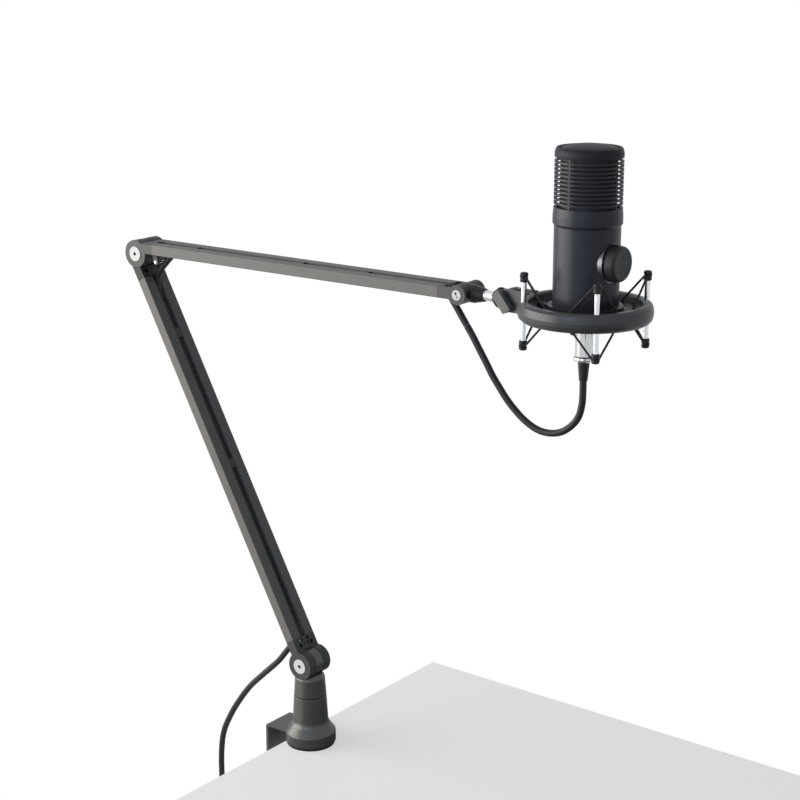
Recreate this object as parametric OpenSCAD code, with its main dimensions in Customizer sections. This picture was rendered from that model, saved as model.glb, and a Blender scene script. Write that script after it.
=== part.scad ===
// Side-address condenser microphone in a four-post elastic shock mount, carried by a
// two-section sprung boom arm that clamps to the edge of a desk.
// Millimetres. Origin: centre of the collar's underside, on the desk top. +X runs forward
// along the arm to the microphone, +Z is up, +Y runs along the arm's hinge pins.

/* [Clamp] */
// Radius of the collar where it stands on the desk
collar_r = 25.5; // [24:0.5:30]
// Height of the seam where the post starts to swivel
seam_z = 52; // [50:1:56]
// Width of the steel strip of the clamp bracket
strip_w = 34; // [28:1:36]
// Thickness of the steel strip
strip_t = 3; // [2.5:0.5:4]
// Distance from the post's axis to the outside of the strip
strip_reach = 46; // [42:1:50]
// Thickness of the desk top that the clamp is closed on
desk_t = 30; // [25:1:35]
// Radius of the clamp screw
screw_r = 5; // [4:0.5:5]

/* [Arms] */
// Height of the base pivot above the desk
base_pivot_z = 87; // [85:1:90]
// Length of the lower arm from pivot to pivot
lower_len = 448; // [440:1:456]
// Length of the upper arm from pivot to pivot
upper_len = 402; // [396:1:408]
// Direction of the lower arm above the forward axis
lower_angle = 118.3; // [117:0.1:120]
// Direction of the upper arm above the forward axis
upper_angle = 1.2; // [0:0.1:3]
// Width of both arms along the hinge pins
arm_w = 31.2; // [30:0.2:33]
// Height of the arm section
arm_h = 10.6; // [10.2:0.2:12]
// Width of the open cable slot
slot_w = 8; // [7:0.5:8]
// Radius of the base and elbow barrels
barrel_r = 14; // [13.5:0.5:14]
// Radius of the head barrel
head_r = 9; // [8.5:0.5:9]

/* [Microphone] */
// Outer radius of the microphone body
mic_r = 28; // [27.5:0.5:28]
// Height of the body above the desk at its lower end
mic_z = 486; // [485:1:487]
// Turn of the microphone and shock mount about their upright axis
mic_yaw = -3; // [-6:1:6]
// Number of slots in the grille
slot_count = 12; // [8:1:12]
// Number of upright ribs in the grille
rib_count = 4; // [3:1:6]
// Radius of the gain knob
knob_r = 15.6; // [14:0.1:16]

/* [Shock mount] */
// Outer radius of the ring
ring_r = 57.6; // [57:0.2:59]
// Height of the ring
ring_h = 16; // [14:1:17]
// Radius of the circle that the posts stand on
post_circle_r = 52.3; // [52.1:0.2:53.5]
// Radius of a post
post_r = 2.3; // [2:0.1:2.4]
// Diameter of the elastic cords
elastic_d = 2.2; // [1.6:0.1:2.4]

/* [Cable] */
// Diameter of the microphone cable
cable_d = 6.2; // [6:0.1:6.4]
// Radius of the coil at the middle of its turns
coil_r = 34; // [33:1:36]

/* [Hidden] */
$fn = 64;
fine = 96;
elbow_x = lower_len * cos(lower_angle);
elbow_z = base_pivot_z + lower_len * sin(lower_angle);
head_x = elbow_x + upper_len * cos(upper_angle);
head_z = elbow_z + upper_len * sin(upper_angle);
tilt_x = head_x + 47;
tilt_z = head_z;
mic_x = tilt_x + 75.5;
half_w = arm_w / 2;
half_h = arm_h / 2;
// The end castings are a hair narrower than the tubes.
casting_w = arm_w - 0.04;
run = 0.4;
pin_r = 4;
pin_gap = 0.05;
tongue_w = 10;
hub_r = 7.5;
hub_sink = 1.2;
hub_proud = 0.5;
// Centreline of each arm tube, measured off its pivot line at both ends.
lower_off = [-0.2, 5.7];
upper_off = [6.3, 0.5];
lower_tip = asin((lower_off[1] - lower_off[0]) / lower_len);
upper_tip = asin((upper_off[1] - upper_off[0]) / upper_len);
lower_tube_x = [27, 422];
upper_tube_x = [24, 381];
rib_y = slot_w / 2 + 1.3;
chan_w = half_w - 1.6 - rib_y;
chan_h = arm_h - 3;
plug_l = 14;
bracket_z = 10;
bracket_low = -desk_t - 34;
foot_h = 6;
screw_top = -desk_t - foot_h;
screw_len = 66;
ring_z = 490;
cap_h = 8.6;
cap_top_z = ring_z + 29.2;
cap_low_z = ring_z - 29.3;
tab_r = 40.5;
hook_y = 8.5;
body_top = mic_z + 76.5;
band_top = body_top + 15.6;
grille_top = band_top + 41;
knob_z = mic_z + 47.5;
plug_r = 7.7;
plug_z = 446;
boot_z = 429;
cable_mid = cable_d / 2;
coil_x = -102;
coil_z = -176;

// Cable routes: from the fork of the upper arm down to a point below the head, from there
// round to the plug, across the elbow, and from the lower arm down behind the desk.
DROP_ROUTE = [
  [157.5, 0, 490.2], [159.3, 0, 490.2], [162.3, 0, 489.9], [165.1, 0, 489.1], [167.7, 0, 487.8],
  [170.1, 0, 486], [172.1, 0, 483.8], [176.4, 0, 478], [180.8, 0, 472.2], [185.1, 0, 466.4],
  [189.5, 0, 460.6]];
LOOP_ROUTE = [
  [190, 0, 460], [197, 0, 450.5], [204, 0, 440], [211.5, 0, 429], [218, 0, 419],
  [225.5, 0, 409.5], [233.5, 0, 400], [243, 0, 391], [254, 0, 383], [266.5, 0, 377.5],
  [279, 0, 376.5], [291, 0, 379.5], [301.5, 0, 387], [308.5, 0, 396.5], [311.5, 0, 408],
  [312, 0, 418], [312, 0, boot_z]];
REAR_ROUTE = [
  [-19.2, 0, 122.1], [-18.3, 0, 120.3], [-17, 0, 117.2], [-16.5, 0, 114], [-16.8, 0, 110.7],
  [-17.9, 0, 107.5], [-19.6, 0, 104.7], [-25, 0, 97.9], [-30.5, 0, 91], [-41, 0, 78],
  [-50, 0, 69], [-59, 0, 60.5], [-69, 0, 51], [-80, 0, 40.2], [-89.5, 0, 29],
  [-98, 0, 17.5], [-106.5, 0, 5], [-114, 0, -8], [-120, 0, -20], [-124, 0, -32.5],
  [-126, 0, -46], [-127, 0, -60], [-127, 0, -74], [-127, 0, -88], [-127, 0, -102],
  [-126, 0, -112], [-122.5, 0, -121.5], [-116, 0, -129.5], [-107, 0, -134.5],
  [coil_x, 0, coil_z + 40]];
ELBOW_ROUTE = [
  [-191.6, 0, 433.6], [-194.4, 0, 439.5], [-196.4, 0, 445.8], [-197.3, 0, 451.6],
  [-197, 0, 456.8], [-194.7, 0, 461.8], [-191.1, 0, 466.5], [-186.3, 0, 471.2],
  [-181.2, 0, 476], [-176.2, 0, 480.6], [-171, 0, 485]];

// ---- frames ----
module in_lower() {
  translate([0, 0, base_pivot_z]) rotate([0, -lower_angle, 0]) children();
}

module on_lower_tube() {
  in_lower() translate([0, 0, lower_off[0]]) rotate([0, -lower_tip, 0]) children();
}

module in_upper() {
  translate([elbow_x, 0, elbow_z]) rotate([0, -upper_angle, 0]) children();
}

module on_upper_tube() {
  in_upper() translate([0, 0, upper_off[0]]) rotate([0, -upper_tip, 0]) children();
}

module at_head() {
  translate([head_x, 0, head_z]) children();
}

module at_tilt() {
  translate([tilt_x, 0, tilt_z]) children();
}

module at_mic() {
  translate([mic_x, 0, 0]) rotate([0, 0, mic_yaw]) children();
}

// ---- shared shapes ----
// A cylinder along Y, between two places on that axis.
module y_rod(r, y0, y1) {
  translate([0, y1, 0]) rotate([90, 0, 0]) cylinder(r = r, h = y1 - y0);
}

// A cylinder along X, between two places on that axis.
module x_rod(r, x0, x1) {
  translate([x0, 0, 0]) rotate([0, 90, 0]) cylinder(r = r, h = x1 - x0);
}

// A round bar between two points in space.
module bar(a, b, d) {
  v = b - a;
  translate(a)
    rotate([0, acos(v[2] / norm(v)), atan2(v[1], v[0])]) cylinder(d = d, h = norm(v), $fn = 16);
}

module round_rect(w, h, r) {
  square([w - 2 * r, h], center = true);
  square([w, h - 2 * r], center = true);
  for (x = [-1, 1], y = [-1, 1])
    translate([x * (w / 2 - r), y * (h / 2 - r)]) circle(r, $fn = 24);
}

// A box along X whose long edges are rounded.
module x_bar(x0, x1, w, h, r) {
  translate([x0, 0, 0]) rotate([90, 0, 90]) linear_extrude(x1 - x0) round_rect(w, h, r);
}

// Ring of points round a place on a cable, square to its direction.
function ring_at(p, dir, r, sides) =
  let (side = cross([0, 1, 0], dir) / norm(cross([0, 1, 0], dir)), up = cross(dir, side))
  [for (i = [0 : sides - 1]) p + r * (cos(360 * i / sides) * side + sin(360 * i / sides) * up)];

function heading(pts, i) =
  let (v = pts[min(i + 1, len(pts) - 1)] - pts[max(i - 1, 0)])
  v / norm(v);

// A cable of a given radius swept along its route.
module cable(route, r, sides = 10) {
  n = len(route);
  points = [for (i = [0 : n - 1]) each ring_at(route[i], heading(route, i), r, sides)];
  walls = [for (i = [0 : n - 2], j = [0 : sides - 1])
    let (k = (j + 1) % sides)
    [i * sides + j, i * sides + k, (i + 1) * sides + k, (i + 1) * sides + j]];
  start = [for (j = [sides - 1 : -1 : 0]) j];
  end = [for (j = [0 : sides - 1]) (n - 1) * sides + j];
  polyhedron(points = points, faces = concat([start], walls, [end]), convexity = 6);
}

// ---- clamp, fixed to the desk ----
module clamp_bracket() {
  reach = 62;
  color("#4a4b4c")
    difference() {
      union() {
        translate([-strip_reach + 4, -strip_w / 2, bracket_z]) cube([reach - 7, strip_w, strip_t]);
        translate([-strip_reach, -strip_w / 2, bracket_low + 4])
          cube([strip_t, strip_w, bracket_z + strip_t - bracket_low - 8]);
        translate([-strip_reach + 4, -strip_w / 2, bracket_low]) cube([reach - 4, strip_w, strip_t]);
        for (z = [bracket_z + strip_t - 4, bracket_low + 4])
          translate([-strip_reach + 4, 0, z])
            rotate([90, 0, 0])
              linear_extrude(strip_w, center = true)
                difference() {
                  circle(4);
                  circle(4 - strip_t);
                  translate([0, -5]) square(10);
                  translate([-5, z > 0 ? -10 : 0]) square(10);
                }
        translate([0, 0, bracket_low - 5]) cylinder(r = 9.5, h = 5);
      }
      translate([0, 0, bracket_low - 6]) cylinder(r = screw_r + 0.1, h = strip_t + 7);
      translate([0, 0, bracket_z - 1]) cylinder(r = 4.1, h = strip_t + 2);
    }
}

module base_riser() {
  color("#4b4c4b")
    difference() {
      rotate_extrude($fn = fine)
        polygon(concat(
          [[0, 2], [24.7, 2], [collar_r, 3]],
          [for (a = [0 : 10 : 50]) [collar_r - 2.5 + 2.5 * cos(a), 12.4 + 2.5 * sin(a)]],
          [for (a = [50 : -12.5 : 0]) [26 - 8.1 * cos(a), 27.4 - 10.4 * sin(a)]],
          [[16.5, seam_z - 0.6], [15.9, seam_z], [0, seam_z]]));
      translate([0, 0, 26]) cylinder(r = 10, h = 40);
      translate([0, 0, 12]) cylinder(r = 4, h = 9);
      translate([0, 0, 1]) cylinder(r = 7.2, h = 9.2);
      translate([-40, -strip_w / 2 - 0.1, bracket_z])
        cube([40 + 19, strip_w + 0.2, strip_t]);
    }
}

module riser_pad() {
  color("#1c1c1c") cylinder(r = 24.4, h = 2);
}

module bracket_bolt() {
  color("silver")
    difference() {
      union() {
        translate([0, 0, 3.4]) cylinder(r = 6.5, h = bracket_z - 3.4);
        translate([0, 0, bracket_z]) cylinder(r = 3.95, h = 10.6);
      }
      translate([0, 0, 3]) cylinder(r = 3.4, h = 4, $fn = 6);
    }
}

module swivel_bush() {
  color("#222222")
    difference() {
      union() {
        translate([0, 0, 27]) cylinder(r = 10, h = seam_z - 27);
        translate([0, 0, seam_z]) cylinder(r = 15.4, h = 0.8);
      }
      translate([0, 0, 26]) cylinder(r = 8 + pin_gap, h = 40);
    }
}

// ---- clamp foot and screw ----
module clamp_foot() {
  color("#5a5b5c")
    difference() {
      translate([0, 0, screw_top])
        rotate_extrude()
          polygon([[0, -5], [9, -5], [9, 0], [16, 2], [17, 3], [17, foot_h - 2], [0, foot_h - 2]]);
      translate([0, 0, screw_top - 6]) cylinder(r = screw_r + pin_gap, h = 6);
    }
}

module foot_pad() {
  color("#1c1c1c") translate([0, 0, -desk_t - 2]) cylinder(r = 16.5, h = 2);
}

module clamp_screw() {
  color("silver")
    difference() {
      union() {
        translate([0, 0, screw_top - screw_len]) cylinder(r = screw_r, h = screw_len - 0.1);
        translate([0, 0, screw_top - screw_len - 12])
          rotate_extrude()
            polygon([[0, 0], [6.5, 0], [8, 1.5], [8, 10.5], [6.5, 12], [0, 12]]);
      }
      translate([0, 0, screw_top - screw_len - 6]) y_rod(2.5, -10, 10);
    }
}

module tee_bar() {
  color("#3a3a3a")
    translate([0, 0, screw_top - screw_len - 6]) {
      y_rod(2.5, -29, 29);
      for (s = [-1, 1])
        translate([0, s * 31, 0])
          rotate([90, 0, 0]) rotate_extrude()
            polygon([[0, -4], [3, -4], [4.2, -2.8], [4.2, 2.8], [3, 4], [0, 4]]);
    }
}

// ---- swivelling post ----
module swivel_post() {
  color("#4b4c4b")
    difference() {
      union() {
        translate([0, 0, 28]) cylinder(r = 8, h = 30);
        difference() {
          rotate_extrude($fn = fine)
            polygon(concat(
              [[0, seam_z + 0.8], [15.9, seam_z + 0.8], [16.4, seam_z + 1.4], [15.3, 68]],
              [for (a = [0 : 15 : 75]) [9.3 + 6 * cos(a), 69.5 + 7 * sin(a)]],
              [[0, 76.5]]));
          translate([0, 0, base_pivot_z]) y_rod(barrel_r + run, -25, 25);
        }
        translate([0, 0, base_pivot_z]) {
          y_rod(barrel_r - 0.2, -tongue_w / 2, tongue_w / 2);
          translate([-9, -tongue_w / 2, -18]) cube([18, tongue_w, 16]);
        }
      }
      translate([0, 0, base_pivot_z]) y_rod(pin_r + pin_gap, -10, 10);
    }
}

// ---- arm parts shared by both arms ----
// Section of an arm tube: two closed spring channels and an open slot for the cable.
module tube_section(open_side) {
  difference() {
    round_rect(arm_w, arm_h, 0.8);
    for (s = [-1, 1])
      translate([s * (rib_y + chan_w / 2), 0]) square([chan_w, chan_h], center = true);
    translate([-slot_w / 2, open_side > 0 ? -chan_h / 2 : -half_h - 1])
      square([slot_w, chan_h / 2 + half_h + 1]);
  }
}

module arm_tube(x0, x1, open_side) {
  translate([x0, 0, 0]) rotate([90, 0, 90]) linear_extrude(x1 - x0) tube_section(open_side);
}

// Tenons of an end casting, one in each spring channel.
module tenons(x0, x1) {
  for (s = [-1, 1])
    translate([x0, s * (rib_y + chan_w / 2) - chan_w / 2 + 0.1, -chan_h / 2 + 0.1])
      cube([x1 - x0, chan_w - 0.2, chan_h - 0.2]);
}

// Two cheeks of a barrel, with a bore for the pin and a seat for each hub screw.
module barrel_cheeks(r, inner, pin, hub) {
  for (s = [-1, 1])
    difference() {
      y_rod(r, s > 0 ? inner : -half_w, s > 0 ? half_w : -inner);
      y_rod(pin, -half_w - 1, half_w + 1);
      y_rod(hub, s > 0 ? half_w - hub_sink : -half_w - 1, s > 0 ? half_w + 1 : -half_w + hub_sink);
    }
}

// A pair of hub screws, flat discs with a tool recess.
module hub_discs(r, socket_r, sides) {
  for (s = [-1, 1])
    difference() {
      y_rod(r, s > 0 ? half_w - hub_sink : -half_w - hub_proud,
        s > 0 ? half_w + hub_proud : -half_w + hub_sink);
      translate([0, s * (half_w + 0.2), 0])
        rotate([90, 30, 0]) cylinder(r = socket_r, h = 1.4, center = true, $fn = sides);
    }
}

// Two tension springs lying in the spring channels, with a hook rod at each end.
module channel_springs(x0, x1) {
  for (s = [-1, 1])
    translate([0, s * (rib_y + chan_w / 2), 0]) {
      difference() {
        x_rod(3.4, x0, x1);
        x_rod(2.3, x0 + 1, x1 - 1);
      }
      x_rod(0.9, x0 - 6, x0);
      x_rod(0.9, x1, x1 + 6);
    }
}

// Cross pins that hold the hooks of the springs.
module spring_pins(x0, x1) {
  for (s = [-1, 1], x = [x0, x1])
    translate([x, s * (rib_y + chan_w / 2), 0]) y_rod(1.4, -chan_w / 2, chan_w / 2);
}

// Clips pressed into the mouth of the slot over the cable.
module slot_clips(places, open_side) {
  for (x = places)
    translate([x - 5, -slot_w / 2, open_side > 0 ? half_h - 1.6 : -half_h + 0.2])
      cube([10, slot_w, 1.4]);
}

// ---- lower arm ----
module lower_tube() {
  color("#8b8a83")
    difference() {
      on_lower_tube() arm_tube(lower_tube_x[0], lower_tube_x[1], -1);
      on_lower_tube()
        translate([lower_tube_x[0] - 1, -slot_w / 2, 0]) cube([16, slot_w, 10]);
    }
}

module lower_base_end() {
  color("#8b8a83") {
    in_lower() barrel_cheeks(barrel_r, tongue_w / 2 + 0.15, pin_r, hub_r);
    difference() {
      on_lower_tube() {
        x_bar(8, lower_tube_x[0], casting_w, arm_h, 0.8);
        tenons(lower_tube_x[0], lower_tube_x[0] + plug_l);
      }
      in_lower() {
        y_rod(barrel_r + 0.4, -tongue_w / 2 - 0.15, tongue_w / 2 + 0.15);
        for (s = [-1, 1])
          y_rod(barrel_r - 0.05, s > 0 ? tongue_w / 2 : -half_w - 1,
            s > 0 ? half_w + 1 : -tongue_w / 2);
      }
      on_lower_tube() {
        for (s = [-1, 1], hole = [[18.6, 8, 2.1], [18.8, 3.2, 1.7], [23.6, 4.6, 1.9]])
          translate([hole[0], s * hole[1], -half_h - 1]) cylinder(r = hole[2], h = 5);
        translate([17, -slot_w / 2, -half_h + 1.5]) cube([12, slot_w, 12]);
      }
    }
  }
}

module lower_elbow_end() {
  color("#55554f") {
    difference() {
      union() {
        difference() {
          on_lower_tube() {
            x_bar(lower_tube_x[1], lower_len + 4, casting_w, arm_h, 0.8);
            tenons(lower_tube_x[1] - plug_l, lower_tube_x[1]);
          }
          in_lower() translate([lower_len, 0, 0]) y_rod(barrel_r + run, -25, 25);
          in_lower() translate([lower_len, -25, -20]) cube([20, 50, 40]);
        }
        in_lower() {
          translate([lower_len, 0, 0]) y_rod(barrel_r - 0.2, -tongue_w / 2, tongue_w / 2);
          translate([lower_len - 16, -tongue_w / 2, 0.6]) cube([14, tongue_w, 10.2]);
        }
      }
      in_lower() translate([lower_len, 0, 0]) y_rod(pin_r + pin_gap, -10, 10);
      in_lower() translate([lower_len - 19, 9.5, 4]) cylinder(r = 2.2, h = 12, center = true);
      in_lower() translate([lower_len - 19, -9.5, 4]) cylinder(r = 2.2, h = 12, center = true);
    }
  }
}

module lower_springs() {
  color("silver") on_lower_tube() channel_springs(60, 330);
}

module lower_spring_pins() {
  color("silver") on_lower_tube() spring_pins(51, 339);
}

module lower_clips() {
  color("#6e6e6a") on_lower_tube() slot_clips([215, 359], -1);
}

module base_pivot_pin() {
  color("silver")
    translate([0, 0, base_pivot_z]) y_rod(pin_r, -half_w + hub_sink, half_w - hub_sink);
}

module base_hubs() {
  color("#e8e8e6") translate([0, 0, base_pivot_z]) hub_discs(hub_r, 1.9, 6);
}

module cable_lower() {
  color("#1d1d1e")
    on_lower_tube()
      cable([[40.8, 0, 0], [140, 0, 0], [234, 0, 0], [328, 0, 0],
        [372, 0, 0], [384, 0, -0.2], [395.1, 0, -0.55]], cable_mid);
}

// ---- upper arm ----
module upper_tube() {
  color("#8b8a83")
    difference() {
      on_upper_tube() arm_tube(upper_tube_x[0], upper_tube_x[1], 1);
      on_upper_tube()
        for (x = [upper_tube_x[0] + 2, upper_tube_x[1] - 9])
          translate([x, -slot_w / 2, -10]) cube([26, slot_w, 10]);
    }
}

module upper_elbow_end() {
  color("#8b8a83") {
    in_upper() barrel_cheeks(barrel_r, tongue_w / 2 + 0.15, pin_r, hub_r);
    difference() {
      on_upper_tube() {
        x_bar(4, upper_tube_x[0], casting_w, arm_h, 0.8);
        tenons(upper_tube_x[0], upper_tube_x[0] + plug_l);
        for (s = [-1, 1])
          translate([22, s * 8, -half_h])
            rotate([90, 0, 0])
              linear_extrude(2.4, center = true)
                polygon([[-6, 0.5], [2, 0.5], [4, -9], [2, -11], [-1, -11]]);
      }
      in_upper() {
        y_rod(barrel_r + 0.4, -tongue_w / 2 - 0.15, tongue_w / 2 + 0.15);
        for (s = [-1, 1])
          y_rod(barrel_r - 0.05, s > 0 ? tongue_w / 2 : -half_w - 1,
            s > 0 ? half_w + 1 : -tongue_w / 2);
      }
      on_upper_tube() translate([22.5, 0, -half_h - 8]) y_rod(1.5, -12, 12);
      on_upper_tube() translate([19, -slot_w / 2, 3.2]) cube([6, slot_w, 5]);
    }
  }
}

module upper_head_end() {
  color("#8b8a83") {
    difference() {
      union() {
        on_upper_tube() {
          x_bar(upper_tube_x[1], upper_len, casting_w, arm_h, 0.8);
          tenons(upper_tube_x[1] - plug_l, upper_tube_x[1]);
        }
        in_upper() translate([upper_len, 0, 0]) y_rod(head_r, -half_w, half_w);
      }
      in_upper()
        translate([upper_len, 0, 0]) {
          y_rod(3, -half_w - 1, half_w + 1);
          for (s = [-1, 1])
            y_rod(4.7, s > 0 ? half_w - hub_sink : -half_w - 1,
              s > 0 ? half_w + 1 : -half_w + hub_sink);
          translate([-17.5, -12.1, -20]) cube([40, 24.2, 40]);
        }
      on_upper_tube() translate([upper_tube_x[1] - 1, -slot_w / 2, -3.8]) cube([6, slot_w, 20]);
      on_upper_tube() translate([upper_tube_x[1] - 1, -slot_w / 2, -10]) cube([7, slot_w, 10]);
    }
  }
}

module upper_springs() {
  color("silver") on_upper_tube() channel_springs(60, 300);
}

module upper_spring_pins() {
  color("silver") {
    on_upper_tube() spring_pins(51, 309);
    on_upper_tube() translate([22.5, 0, -half_h - 8]) y_rod(1.5, -9.8, 9.8);
  }
}

module upper_clips() {
  color("#6e6e6a") on_upper_tube() slot_clips([69, 207, 286], 1);
}

module elbow_pivot_pin() {
  color("silver")
    translate([elbow_x, 0, elbow_z]) y_rod(pin_r, -half_w + hub_sink, half_w - hub_sink);
}

module elbow_hubs() {
  color("#e8e8e6") translate([elbow_x, 0, elbow_z]) hub_discs(hub_r, 1.9, 6);
}

module head_pivot_pin() {
  color("silver") at_head() y_rod(3, -half_w + hub_sink, half_w - hub_sink);
}

module head_hubs() {
  color("#e8e8e6")
    difference() {
      at_head() hub_discs(4.7, 0.7, 16);
      at_head()
        for (s = [-1, 1], hole = [[-0.9, 1.5, 1.05], [0.8, -1.7, 0.75]])
          translate([hole[0], s * (half_w + 0.2), hole[1]]) y_rod(hole[2], -0.7, 0.7);
    }
}

module cable_upper() {
  color("#1d1d1e")
    on_upper_tube()
      cable([[41.5, 0, -3], [47, 0, -1], [56, 0, 0], [140, 0, 0], [224, 0, 0],
        [308, 0, 0], [370, 0, 0]], cable_mid);
}

module cable_elbow() {
  color("#1d1d1e") cable(ELBOW_ROUTE, cable_mid);
}

module cable_drop() {
  color("#1d1d1e") cable(DROP_ROUTE, cable_mid);
}

// ---- head ----
module head_knuckle() {
  color("#434446")
    difference() {
      at_head() {
        y_rod(head_r - 0.1, -11.8, 11.8);
        x_rod(8.2, 0, 9.6);
        translate([9.6, 0, 0]) rotate([0, 90, 0]) cylinder(r1 = 8.2, r2 = 5.8, h = 10.6);
      }
      at_head() y_rod(3 + pin_gap, -13, 13);
      at_head() x_rod(4.76, 5, 21);
    }
}

module head_stud() {
  color("silver") at_head() x_rod(4.76, 5, 35);
}

module thread_socket() {
  color("#3f4042")
    difference() {
      union() {
        at_head() {
          translate([31, 0, 0]) rotate([0, 90, 0]) cylinder(r1 = 6, r2 = 9.1, h = 4);
          x_rod(9.1, 35, 37.1);
        }
        at_tilt() y_rod(9, -3.4, 3.4);
        at_tilt() translate([-12, -3.4, -8]) cube([8, 6.8, 16]);
      }
      at_head() x_rod(4.76, 30, 35);
      at_tilt() y_rod(3 + pin_gap, -5, 5);
    }
}

module cable_loop() {
  color("#1d1d1e") cable(LOOP_ROUTE, cable_mid);
}

// ---- shock mount ----
module shock_ring() {
  cut_r = post_r;
  color("#4a4c4f")
    difference() {
      union() {
        translate([mic_x, 0, ring_z])
          rotate_extrude($fn = fine)
            polygon([[48.4, -6.6], [49.8, -ring_h / 2], [54.4, -ring_h / 2], [56.4, -6],
              [57.3, -3.2], [ring_r, 0], [57.3, 3.2], [56.4, 6], [54.4, ring_h / 2],
              [49.8, ring_h / 2], [48.4, 6.6]]);
        for (s = [-1, 1])
          at_tilt() {
            y_rod(9.5, s > 0 ? 3.7 : -9.5, s > 0 ? 9.5 : -3.7);
            translate([0, s > 0 ? 3.7 : -9.5, -9.5]) cube([22, 5.8, 18.5]);
          }
        at_tilt() translate([11, -9.5, -8]) cube([11, 19, 16]);
      }
      at_tilt() y_rod(3 + pin_gap, -12, 12);
      at_mic()
        for (a = [45 : 90 : 315])
          rotate([0, 0, a]) translate([post_circle_r, 0, ring_z - 20]) cylinder(r = cut_r, h = 40);
    }
}

module ring_posts() {
  color("silver")
    at_mic()
      for (a = [45 : 90 : 315])
        rotate([0, 0, a])
          translate([post_circle_r, 0, cap_low_z - 1]) cylinder(r = post_r, h = cap_top_z - cap_low_z + 2);
}

module post_caps() {
  color("#2a2b2d")
    at_mic()
      for (a = [45 : 90 : 315], z = [cap_low_z, cap_top_z])
        rotate([0, 0, a])
          translate([post_circle_r, 0, z])
            difference() {
              rotate_extrude()
                polygon([[0, -cap_h / 2], [2.8, -cap_h / 2], [3.5, -cap_h / 2 + 0.8],
                  [3.5, cap_h / 2 - 0.8], [2.8, cap_h / 2], [0, cap_h / 2]]);
              translate([0, 0, z > ring_z ? -cap_h : -1]) cylinder(r = post_r, h = cap_h + 1);
            }
}

// Hook of the tab on side k that the cord from post i runs to.
function hook_at(k, side, z) = [tab_r * cos(90 * k) - side * hook_y * sin(90 * k),
  tab_r * sin(90 * k) + side * hook_y * cos(90 * k), z];

function cap_at(i, z) = [post_circle_r * cos(45 + 90 * i), post_circle_r * sin(45 + 90 * i), z];

module elastic_cords() {
  color("#1a1a1b")
    at_mic()
      for (i = [0 : 3], up = [-1, 1], side = [0, 1]) {
        cap = cap_at(i, up > 0 ? cap_top_z + 1 : cap_low_z - 1);
        hook = hook_at(i + side, side > 0 ? -1 : 1, ring_z + up * 2.4);
        run_dir = (hook - cap) / norm(hook - cap);
        bar(cap + run_dir * 6.6, hook - run_dir * 2.9, elastic_d);
      }
}

module cradle() {
  color("#2f3032")
    at_mic() {
      difference() {
        union() {
          translate([0, 0, mic_z - 3]) cylinder(r = 32, h = 12);
          for (k = [0 : 3])
            rotate([0, 0, 90 * k]) {
              translate([28, -10.5, ring_z - 2]) cube([15, 21, 4]);
              for (s = [-1, 1])
                translate([tab_r, s * hook_y, ring_z - 3.4]) cylinder(r = 2.2, h = 6.8);
            }
        }
        translate([0, 0, mic_z]) cylinder(r = mic_r + 0.05, h = 20);
        translate([0, 0, mic_z - 10]) cylinder(r = 12.1, h = 20);
        for (k = [0 : 3])
          rotate([0, 0, 90 * k]) translate([37.5, 0, ring_z - 5]) cylinder(r = 3, h = 10);
      }
    }
}

module cradle_nut() {
  color("#2a2b2d")
    at_mic()
      difference() {
        translate([0, 0, mic_z - 8.5]) cylinder(r = 17, h = 5.5);
        translate([0, 0, mic_z - 10]) cylinder(r = 12, h = 8);
      }
}

module wing_knob() {
  color("#74756f") {
    difference() {
      at_tilt()
        rotate([0, 50, 0])
          translate([0, -10.2, 0])
            rotate([90, 0, 0]) linear_extrude(6.4) round_rect(20, 8.8, 1.5);
      at_tilt() y_rod(3, -12, -9);
    }
    at_tilt() {
      y_rod(3, -12, 12);
      y_rod(5, 9.9, 12.4);
    }
  }
}

// ---- microphone ----
module mic_body() {
  color("#3c3e47")
    at_mic()
      difference() {
        translate([0, 0, mic_z + 3.5]) cylinder(r = mic_r, h = body_top - mic_z - 3.5, $fn = fine);
        translate([0, 0, mic_z]) cylinder(r = mic_r - 1.8, h = 100, $fn = fine);
        translate([0, 0, knob_z]) x_rod(17.2, 18, 40);
      }
}

module grille() {
  pitch = (grille_top - band_top) / slot_count;
  bar_h = pitch * 0.48;
  color("#35373f")
    at_mic() {
      rotate_extrude($fn = fine)
        polygon([[mic_r - 1.8, body_top], [mic_r, body_top], [mic_r + 1.35, body_top + 2.2],
          [mic_r + 1.35, body_top + 8], [mic_r + 0.75, band_top], [mic_r - 1.8, band_top]]);
      for (i = [1 : slot_count - 1])
        translate([0, 0, band_top + i * pitch - bar_h / 2])
          difference() {
            cylinder(r = mic_r + 0.75, h = bar_h, $fn = fine);
            translate([0, 0, -1]) cylinder(r = mic_r - 1.4, h = bar_h + 2, $fn = fine);
          }
      for (k = [0 : rib_count - 1])
        rotate([0, 0, 360 * k / rib_count])
          translate([mic_r - 1.5, -1.1, band_top - 0.1])
            cube([1.5, 2.2, grille_top - band_top + 0.1]);
    }
}

module grille_cap() {
  z = grille_top;
  color("#35373f")
    at_mic()
      rotate_extrude($fn = fine)
        polygon([[24, z], [mic_r + 0.75, z], [mic_r + 0.75, z + 3.6], [28.2, z + 6],
          [27.4, z + 7.7], [26.7, z + 8.3], [25.8, z + 8.2], [25.2, z + 7.2], [23.6, z + 7.2],
          [22.6, z + 8], [17, z + 9.4], [9, z + 10.6], [0, z + 11], [0, z + 9.8], [9, z + 9.4],
          [17, z + 8.2], [23, z + 6.2], [24, z + 5.6]]);
}

module mesh_liner() {
  color("#1f2023")
    at_mic()
      translate([0, 0, body_top + 2.4])
        difference() {
          cylinder(r = 23.8, h = grille_top - body_top + 3);
          translate([0, 0, -1]) cylinder(r = 23.2, h = 80);
        }
}

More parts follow.
